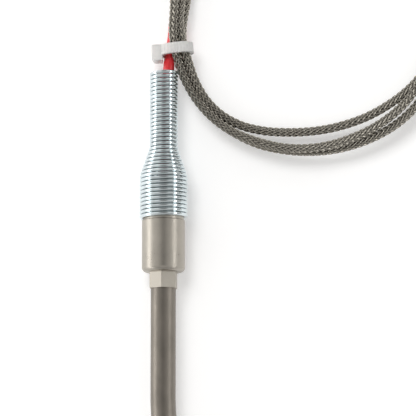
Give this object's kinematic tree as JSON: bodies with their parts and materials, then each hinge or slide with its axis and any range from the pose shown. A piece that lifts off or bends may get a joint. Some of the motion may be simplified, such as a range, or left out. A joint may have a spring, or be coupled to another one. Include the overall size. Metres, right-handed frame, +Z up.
{
  "type": "thermocouple",
  "caption": "Mineral-insulated thermocouple probe: bent metal sheath, crimped pot, tapered bend-protection spring, red sleeve and a braided lead coiled under a cable tie.",
  "frame": {"origin": "on the probe axis, at the start of the pot's straight outside wall, just above its rounded shoulder", "axes": "+Y along the probe axis from the pot towards the lead, so the sheath points to -Y; +Z up from the surface that the part lies on; the bent tip leg and the coil lie towards +X"},
  "size_m": [0.0852, 0.2516, 0.0116],
  "materials": {
    "sheath_steel": "drawn, with fine lengthwise grain",
    "pot_steel": "turned, with fine grain round it",
    "zinc_plated_wire": "bright, bluish passivation",
    "steel_braid": "bright wires in a dull open braid",
    "red_sleeving": "satin",
    "nylon": "natural, slightly translucent",
    "magnesia": "pressed powder",
    "cement": "matt",
    "nickel_alloy": "drawn wire",
    "glass_fibre_green": "varnished glass-fibre braid",
    "glass_fibre_white": "varnished glass-fibre braid"
  },
  "bodies": {
    "root": {"sheath": "sheath_steel", "tip_plug": "sheath_steel", "mineral_insulation": "magnesia", "element_positive": "nickel_alloy", "element_negative": "nickel_alloy", "hot_junction": "nickel_alloy", "end_seal": "cement", "pot": "pot_steel", "potting_compound": "cement", "splice_positive": "nickel_alloy", "splice_negative": "nickel_alloy", "splice_sleeve_positive": "glass_fibre_white", "splice_sleeve_negative": "glass_fibre_white", "core_positive": "glass_fibre_green", "core_negative": "glass_fibre_white", "core_wire_positive": "nickel_alloy", "core_wire_negative": "nickel_alloy", "glass_wrap": "glass_fibre_white", "relief_spring": "zinc_plated_wire", "red_sleeve": "red_sleeving", "lead": "steel_braid", "lead_coil": "steel_braid", "lead_end": "steel_braid", "cable_tie": "nylon", "end_sleeve": "red_sleeving", "tail_positive": "glass_fibre_green", "tail_negative": "glass_fibre_white", "tail_wire_positive": "nickel_alloy", "tail_wire_negative": "nickel_alloy"}
  },
  "joints": []
}
